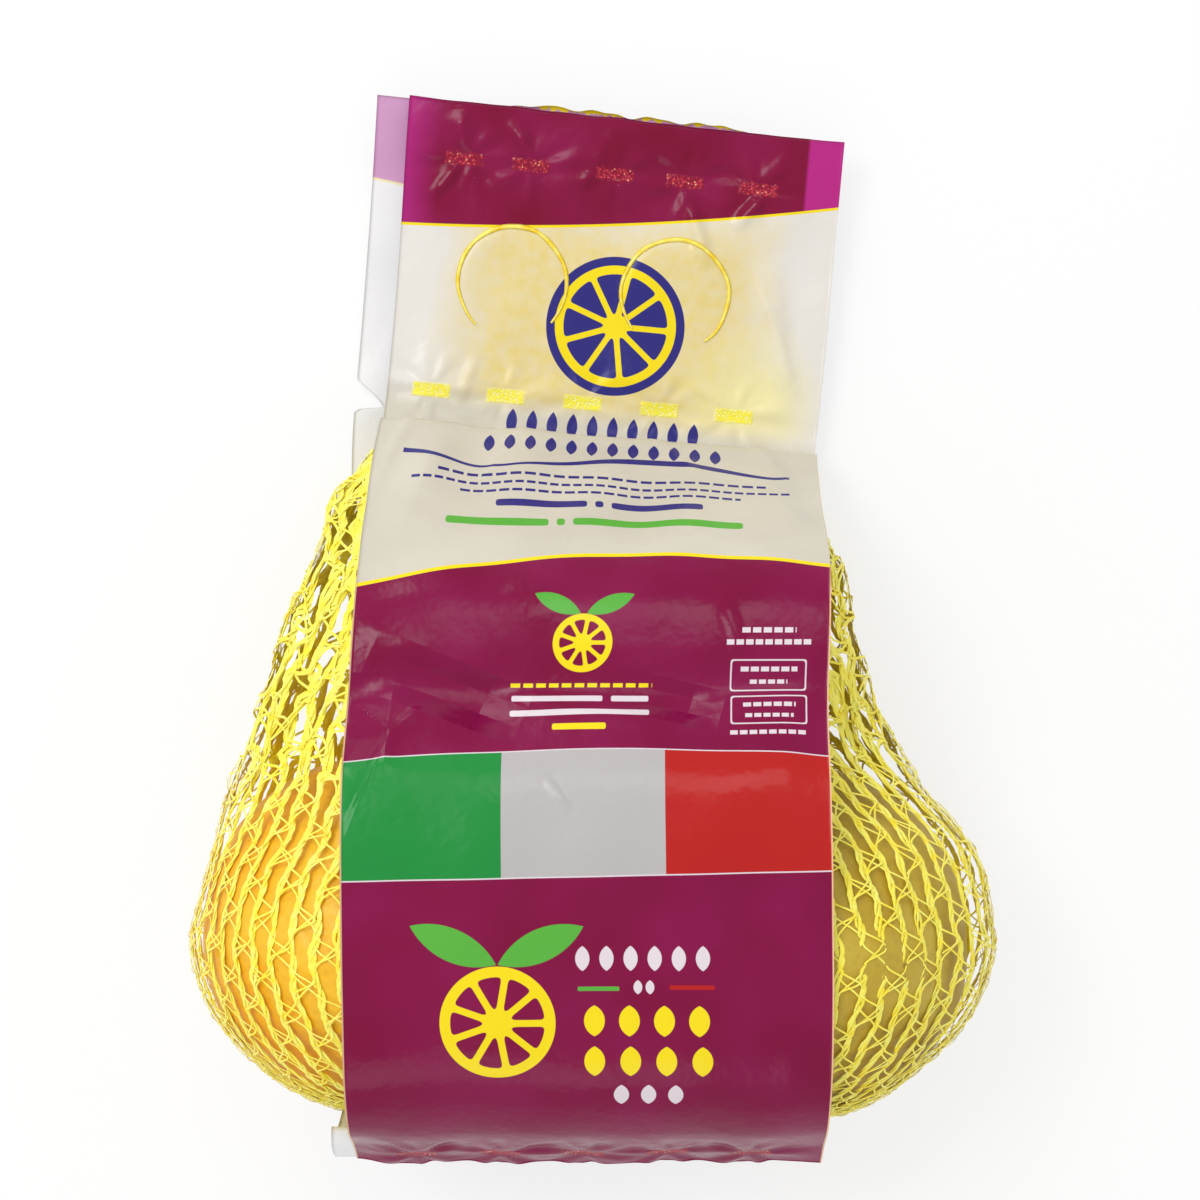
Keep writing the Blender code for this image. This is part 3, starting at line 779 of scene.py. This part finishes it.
# The outer side of the back band carries plain fields of the same colours, and no strokes.
def backPrint():
    material, tree, shader = newMaterial("back_film_print", Roughness=0.32, Specular_IOR_Level=0.30)
    place, u, s = printPlace(tree)
    cloud = noiseAt(tree, place, 0.06, 3)
    colour = blendColour(tree, spread(tree, cloud, 0.35, 0.65), ink["film"], ink["slope"])
    edge = bowedLine(tree, u, 20.5, 0.05, -0.0008, 0)
    rule = calc(tree, "SUBTRACT", s, calc(tree, "ADD", edge, 0.6))
    colour = blendColour(tree, inside(tree, rule), colour, ink["yellow"])
    colour = blendColour(tree, inside(tree, calc(tree, "SUBTRACT", s, edge)), colour, ink["plumHeader"])
    edge = bowedLine(tree, u, 116.5, 0.0, 0.0024, -11)
    colour = blendColour(tree, inside(tree, calc(tree, "SUBTRACT", edge, s)), colour, ink["yellow"])
    field = calc(tree, "SUBTRACT", calc(tree, "ADD", edge, 0.9), s)
    colour = blendColour(tree, inside(tree, field), colour, ink["plum"])
    window = boxShape(tree, u, s, (0, 158), (34, 21), 3.0)
    colour = blendColour(tree, inside(tree, window), colour, ink["white"])
    tree.links.new(colour, shader.inputs["Base Color"])
    bumpFrom(tree, shader, noiseAt(tree, place, 0.22, 4, 0.6), 0.30, 0.0006)
    return material


# The inner side of the film: white, with the header's plum showing through as lilac.
def innerFilm():
    material, tree, shader = newMaterial("film_inner_side", Roughness=0.35, Specular_IOR_Level=0.45)
    place, u, s = printPlace(tree)
    cloud = noiseAt(tree, place, 0.05, 3)
    colour = blendColour(tree, spread(tree, cloud, 0.3, 0.7), ink["filmAlone"], darker(ink["filmAlone"], 0.92))
    edge = bowedLine(tree, u, 20.5, 0.05, -0.0008, 0)
    rule = calc(tree, "SUBTRACT", s, calc(tree, "ADD", edge, 0.5))
    colour = blendColour(tree, inside(tree, rule, 0.3), colour, (0.88, 0.78, 0.45, 1))
    colour = blendColour(tree, inside(tree, calc(tree, "SUBTRACT", s, edge), 0.3), colour, ink["lilac"])
    fringe = calc(tree, "ADD", s, spread(tree, noiseAt(tree, place, 0.9), 0.3, 0.7, (0.35, 1.25)))
    colour = blendColour(tree, inside(tree, fringe, 0.2), colour, ink["yellow"])
    tree.links.new(colour, shader.inputs["Base Color"])
    bumpFrom(tree, shader, noiseAt(tree, place, 0.2, 4, 0.6), 0.25, 0.0006)
    return material


def makeFilms():
    inner = innerFilm()
    row = np.linspace(0, 1, band["rows"])[:, None]
    column = np.linspace(-1, 1, band["columns"])[None, :]
    s = row * frontLength + 0 * column
    u = column * band["width"] / 2 + 0 * row
    top = 1 - ramp(s, 0, 4)
    s = s + top * 0.15 * softNoise(u, s, 11, 61)
    front = filmShell("front_film", frontSurface, u, s, 1, [frontPrint(), inner])
    s = row * backLength + 0 * column
    down = s[:, :1]
    bite = tear["depth"] * np.clip((down - tear["top"]) / (tear["tip"] - tear["top"]), 0, 1)
    bite = bite * (1 - ramp(down, tear["tip"], tear["bottom"]))
    ragged = 0.25 * softNoise(down, down, 6, 62) * (bite > 0)
    left = -band["width"] / 2 + bite + ragged
    u = left + (column + 1) / 2 * (band["width"] / 2 - left)
    top = 1 - ramp(s, 0, 5)
    peep = ramp(u, -22, -12) * (1 - ramp(u, 26, 36))
    s = s - top * peep * (1.25 + 0.28 * softNoise(u, s, 6, 63))
    back = filmShell("back_film", backSurface, u, s, -1, [backPrint(), inner])
    return front, back


# The knitted net.

net = dict(
    wales=84, course=11.0, clearance=0.62, strandWide=0.72, strandThick=0.16, strandStep=1.15,
    threadWide=0.36, threadThick=0.12, hiddenTop=(0.395, 0.605), hiddenBottom=(0.105, 0.895),
)
netEnd = dict(away=10.4, height=49.0)
netLeft = [(44.0, -0.1), (71.0, 7.2), (94.0, 14.7), (114.0, 21.2), (132.0, 29.4), (145.0, 39.9), (151.0, 42.9)]
netRight = [(44.0, -0.1), (60.0, -3.8), (73.0, -14.4), (86.0, -21.9), (104.0, -27.2), (124.0, -31.2),
            (142.0, -36.4), (151.0, -37.4)]
netSideHeight = [(44.0, 35.5), (79.0, 34.0), (109.0, 29.0), (129.0, 17.0), (142.0, 4.5), (151.0, 2.6)]


def crownHeight(away):
    slope = unit(np.gradient(frontPath, axis=0))
    under = frontPath + 1.1 * np.stack([slope[:, 1], -slope[:, 0]], axis=1)
    under = under[np.argmax(under[:, 1]):]
    order = np.argsort(under[:, 0])
    return np.interp(away, under[order, 0], under[order, 1])


# The net's surface as rings of points [ring, point, xyz]: superellipses between the net's left and right
# outlines, that close towards the seam by the cosine and sine of one turn, pushed out to the fruits.
def netRings(count=900):
    turn = np.linspace(math.pi / 2, 0, 60, endpoint=False)
    middle = netLeft[0][0]
    share = np.maximum(np.cos(turn), 0.012)
    half = lemons["lemon_left"]["half"][2] + net["clearance"]
    side = netSideHeight[0][1] + (netEnd["height"] - netSideHeight[0][1]) * (1 - np.cos(turn)) ** 2
    leftCentre, rightCentre = lemons["lemon_left"]["centre"][0], lemons["lemon_right"]["centre"][0]
    closing = np.stack([
        middle + (netEnd["away"] - middle) * np.sin(turn),
        leftCentre + (netLow[0] - leftCentre) * share, rightCentre + (netHigh[0] - rightCentre) * share,
        side, side + half * share * 0.985, side - half * share * 0.985, np.full(len(turn), 2.5)])
    away = np.linspace(middle, 151, 170)
    exponent = 2.5 - 0.9 * np.clip((away - middle) / 45, 0, 1)
    body = np.stack([
        away, netLow[0] + smoothThrough(netLeft, away), netHigh[0] + smoothThrough(netRight, away),
        smoothThrough(netSideHeight, away), crownHeight(away), np.full(len(away), 0.9), exponent])
    away, left, right, side, crown, floor, exponent = np.concatenate([closing, body], axis=1)[:, :, None]
    angle = np.linspace(-math.pi / 2, 1.5 * math.pi, count, endpoint=False)[None, :]
    across, up = np.cos(angle), np.sin(angle)
    x = (left + right) / 2 + (right - left) / 2 * np.sign(across) * np.abs(across) ** (2 / exponent)
    reach = np.where(up > 0, crown - side, side - floor)
    z = side + reach * np.sign(up) * np.abs(up) ** (2 / exponent)
    rings = np.stack([x, frontLow[1] + away + 0 * x, z], axis=-1)
    nearest = np.full(rings.shape[:2], 99.0)
    for fruit in lemons.values():
        offset = rings - np.array(fruit["centre"])
        size = np.array(fruit["half"]) + net["clearance"]
        depth = np.linalg.norm(offset / size, axis=-1)
        nearest = np.minimum(nearest, (depth - 1) * size.min())
        push = (depth < 1) & (depth > 0.05)
        rings[push] = np.array(fruit["centre"]) + offset[push] / depth[push, None]
    return skewHeader(rings), np.maximum(nearest, 0)


# Even steps round each ring, so that a wale keeps its share of the way round: [ring, step, ...].
def evenRound(rings, slack, steps=768):
    closed = np.concatenate([rings, rings[:, :1]], axis=1)
    looseness = np.concatenate([slack, slack[:, :1]], axis=1)
    gap = np.linalg.norm(np.diff(closed, axis=1), axis=-1)
    sheet = np.empty((len(rings), steps + 1, 3))
    loose = np.empty((len(rings), steps + 1))
    for i in range(len(rings)):
        along = np.concatenate([[0], np.cumsum(gap[i])])
        at = np.linspace(0, along[-1], steps + 1)
        for axis in range(3):
            sheet[i, :, axis] = np.interp(at, along, closed[i, :, axis])
        loose[i] = np.interp(at, along, looseness[i])
    return sheet, loose, gap.sum(axis=1)


def sampled(table, row, column):
    column = column % 1.0 * (table.shape[1] - 1)
    r = np.clip(np.floor(row).astype(int), 0, table.shape[0] - 2)
    c = np.clip(np.floor(column).astype(int), 0, table.shape[1] - 2)
    a, b = row - r, column - c
    if table.ndim == 3:
        a, b = a[..., None], b[..., None]
    near = table[r, c] * (1 - b) + table[r, c + 1] * b
    far = table[r + 1, c] * (1 - b) + table[r + 1, c + 1] * b
    return near * (1 - a) + far * a


# The sheet as tables: points, outward normals, gap to the fruits, and distances along and round it.
def buildSheet():
    points, clear, around = evenRound(*netRings())
    step = np.linalg.norm(np.diff(points, axis=0), axis=-1).mean(axis=1)
    ring = points[:, :-1]
    across = np.roll(ring, -1, axis=1) - np.roll(ring, 1, axis=1)
    normal = unit(np.cross(across, np.gradient(ring, axis=0)))
    outward = ring - ring.mean(axis=1, keepdims=True)
    normal = normal * np.sign((normal * outward).sum(axis=-1, keepdims=True))
    return dict(points=points, clear=clear, round=around, along=np.concatenate([[0], np.cumsum(step)]),
                normal=np.concatenate([normal, normal[:, :1]], axis=1))


# A point of the net: `share` of the way round, `along` from the seam, `out` from the sheet. Where the net
# hangs free of the fruits it is bunched and creased by soft noise.
def onNet(sheet, share, along, out):
    row = np.interp(along, sheet["along"], np.arange(len(sheet["along"])))
    free = ramp(sampled(sheet["clear"], row, share), 0.8, 7.0)
    around = np.interp(row, np.arange(len(sheet["round"])), sheet["round"])
    a, b = share * 380, along
    sway = 1.9 * softNoise(a, b * 0.5, 13, 71) + 0.5 * softNoise(a, b * 0.7, 6, 72)
    share = share + free * sway / np.maximum(around, 150)
    along = along + free * 1.6 * softNoise(a, b, 12, 73)
    row = np.interp(along, sheet["along"], np.arange(len(sheet["along"])))
    crinkle = free * (0.8 * softNoise(a * 0.8, b * 0.6, 14, 74) + 0.4 * softNoise(a, b, 6, 75))
    point = sampled(sheet["points"], row, share)
    normal = unit(sampled(sheet["normal"], row, share))
    covered = ramp(band["width"] / 2 + 4 - np.abs(point[..., 0] - frontMiddle[0][1]), 0, 3)
    lift = out + crinkle
    lift = np.where(lift > 0.2, 0.2 + (lift - 0.2) * (1 - covered), lift)
    point = point + normal * lift[..., None]
    point[..., 2] = np.maximum(point[..., 2], 0.35)
    return point, normal, free


# Wales run from the seam to the neck. Each is three tapes that twist loosely round one another, and it is
# drawn aside by the cross threads at every course, left and right in turn.
def waleTapes(sheet, shares, order):
    length = sheet["along"][-1]
    along = np.arange(1.0, length - 1.0, net["strandStep"])[None, :]
    drawn = 0.34 * np.cos(2 * math.pi * along / net["course"] + math.pi * order[:, None])
    parts = []
    for strand in range(3):
        turn = 2 * math.pi * (along / 7.5 + strand / 3) + order[:, None] * 1.7
        wander = 0.25 * softNoise(along + 0 * order[:, None], order[:, None] * 17 + strand * 5, 8, 80 + strand)
        around = np.interp(along, sheet["along"], sheet["round"])
        offset = drawn + 0.42 * np.cos(turn) + wander
        out = 0.12 + 0.16 * np.sin(turn)
        points, normal, free = onNet(sheet, shares[:, None] + offset / around, along + 0 * shares[:, None], out)
        wide = net["strandWide"] * (1 + 0.25 * softNoise(along, order[:, None] * 9.0, 5, 90 + strand) + 0.6 * free)
        parts.append(tubes(points, normal, wide, net["strandThick"]))
    return parts


# Cross threads tie neighbouring wales: at each course one goes over to the next wale and one comes back.
def crossThreads(sheet, shares, order):
    length = sheet["along"][-1]
    pitch = 1.0 / net["wales"]
    courses = np.arange(2.0, length - 8.0, net["course"])
    start = (courses[None, :] + (order[:, None] % 2) * net["course"] / 2 + 2.2)
    rng = np.random.default_rng(77)
    parts = []
    for way in (0, 1, 2, 3):
        jitter = rng.uniform(-0.9, 0.9, start.shape)
        t = np.linspace(0, 1, 6)[None, None, :]
        rise = (4.6, 5.2, 3.2, -2.6)[way]
        first = start + jitter + (0, 0, 3.0, 3.6)[way]
        along = np.clip(first[..., None] + t * rise, 0.5, length - 0.5)
        go = t * t * (3 - 2 * t)
        go = go if way != 1 else 1 - go
        share = shares[:, None, None] + pitch * go
        out = 0.30 + 0.25 * np.sin(math.pi * t) + 0.1 * way + 0 * along
        points, normal, free = onNet(sheet, share, along, out)
        wide = net["threadWide"] * (1 + 0.5 * free.reshape(-1, 6))
        parts.append(tubes(points.reshape(-1, 6, 3), normal.reshape(-1, 6, 3), wide, net["threadThick"]))
    return parts


def netMaterial():
    material, tree, shader = newMaterial("net_yellow", Roughness=0.34, Specular_IOR_Level=0.5)
    place = objectPlace(tree)
    tone = spread(tree, noiseAt(tree, place, 420, 1), 0.3, 0.7)
    colour = blendColour(tree, tone, (1.0, 0.84, 0.035, 1), (1.0, 0.94, 0.16, 1))
    tree.links.new(colour, shader.inputs["Base Color"])
    return material


def makeNet():
    sheet = buildSheet()
    material = netMaterial()
    order = np.arange(net["wales"])
    shares = order / net["wales"]
    top, bottom = net["hiddenTop"], net["hiddenBottom"]
    shown = ((shares > bottom[0]) & (shares < top[0])) | ((shares > top[1]) & (shares < bottom[1]))
    made = []
    for name, half in (("net_right", shares < 0.5), ("net_left", shares >= 0.5)):
        mine = shown & half
        parts = waleTapes(sheet, shares[mine], order[mine]) + crossThreads(sheet, shares[mine], order[mine])
        points, quads = joined(parts)
        made.append(makePiece(name, points, quads, [material], smooth=False))
    return made


# The hang cuts: two horseshoe slits whose edges the knife sealed in a bead of molten net.

def makeBeads():
    material, tree, shader = newMaterial("sealed_bead", Roughness=0.16, Specular_IOR_Level=0.6)
    place = objectPlace(tree)
    tone = spread(tree, noiseAt(tree, place, 500, 2), 0.35, 0.65)
    colour = blendColour(tree, tone, (0.95, 0.66, 0.012, 1), (1.0, 0.86, 0.16, 1))
    tree.links.new(colour, shader.inputs["Base Color"])
    parts = []
    for number, cut in enumerate(hangCuts):
        angle = np.radians(np.linspace(cut["start"], cut["end"], 150))
        wobble = cut["radius"] + 0.10 * softNoise(angle * 12, angle, 9, 95 + number)
        u = cut["across"] + wobble * np.cos(angle)
        s = cut["down"] - wobble * np.sin(angle) * 1.02
        base = frontSurface(u, s)
        ahead = frontSurface(u + 0.1, s) - base
        down = frontSurface(u, s + 0.1) - base
        normal = unit(np.cross(down, ahead))
        taper = np.sin(np.linspace(0.12, math.pi - 0.12, 150)) ** 0.4
        fat = taper * (1.10 + 0.08 * softNoise(angle * 15, angle, 9, 97 + number))
        parts.append(tubes((base + normal * 0.15)[None], normal[None], fat[None], 0.6 * fat[None]))
    points, quads = joined(parts)
    return makePiece("hang_cut_beads", points, quads, [material])


# Floor, light and camera.

def makeStage():
    size = 2500.0
    corners = np.array([[-size, -size, -0.25], [size, -size, -0.25], [size, size, -0.25], [-size, size, -0.25]])
    material, tree, shader = newMaterial("pale_floor", Base_Color=(0.92, 0.92, 0.92, 1), Roughness=0.9)
    path = tree.nodes.new("ShaderNodeLightPath")
    seen = calc(tree, "ADD", path.outputs["Is Camera Ray"], path.outputs["Is Glossy Ray"], clamp=True)
    seen = calc(tree, "ADD", seen, path.outputs["Is Transmission Ray"], clamp=True)
    glowing = tree.nodes.new("ShaderNodeEmission")
    glowing.inputs["Strength"].default_value = 1.0
    mixed = tree.nodes.new("ShaderNodeMixShader")
    tree.links.new(calc(tree, "MULTIPLY", seen, 0.72), mixed.inputs[0])
    tree.links.new(shader.outputs[0], mixed.inputs[1])
    tree.links.new(glowing.outputs[0], mixed.inputs[2])
    tree.links.new(mixed.outputs[0], tree.nodes["Material Output"].inputs["Surface"])
    floor = makePiece("floor", corners, np.array([[0, 1, 2, 3]]), [material], smooth=False)

    world = bpy.data.worlds.new("studio")
    bpy.context.scene.world = world
    world.use_nodes = True
    world.node_tree.nodes["Background"].inputs["Color"].default_value = (1, 1, 1, 1)
    world.node_tree.nodes["Background"].inputs["Strength"].default_value = 0.69

    for name, place, wide, power in (("key_light", (-0.50, 0.32, 1.00), 0.40, 4.1),
                                     ("head_light", (0.05, 0.65, 1.00), 0.30, 0.9),
                                     ("glance_light", (-0.45, 1.00, 0.47), 0.40, 2.4),
                                     ("end_light", (-0.15, -0.85, 0.70), 0.45, 0.9)):
        lamp = bpy.data.lights.new(name, "AREA")
        lamp.size = wide
        lamp.energy = power
        holder = bpy.data.objects.new(name, lamp)
        holder.location = place
        aim = -np.array(place)
        lean = math.atan2(math.hypot(aim[0], aim[1]), -aim[2])
        holder.rotation_euler = (lean, 0, math.atan2(aim[1], aim[0]) - math.pi / 2)
        bpy.context.scene.collection.objects.link(holder)


# The view is straight down from arm's length: a long lens whose frame is set by its height and focal length.
view = dict(height=0.544, lens=77.73, acrossFromOrigin=0.00135, alongFromOrigin=0.00226)


def makeCamera():
    lens = bpy.data.cameras.new("camera")
    lens.lens = view["lens"]
    lens.sensor_width = 36
    lens.clip_start = 0.01
    camera = bpy.data.objects.new("camera", lens)
    camera.location = (view["acrossFromOrigin"], view["alongFromOrigin"], view["height"])
    bpy.context.scene.collection.objects.link(camera)
    bpy.context.scene.camera = camera


scene = bpy.context.scene
scene.view_settings.view_transform = "Standard"
makeStage()
makeCamera()
fruits = makeLemons()
frontFilm, backFilm = makeFilms()
nets = makeNet()
beads = makeBeads()

for piece in [*fruits, *nets]:
    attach(piece, "root")
for piece in (frontFilm, beads):
    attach(piece, "root")
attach(backFilm, "root")
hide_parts("filled_net")
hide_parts("front_band")
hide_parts("back_band")
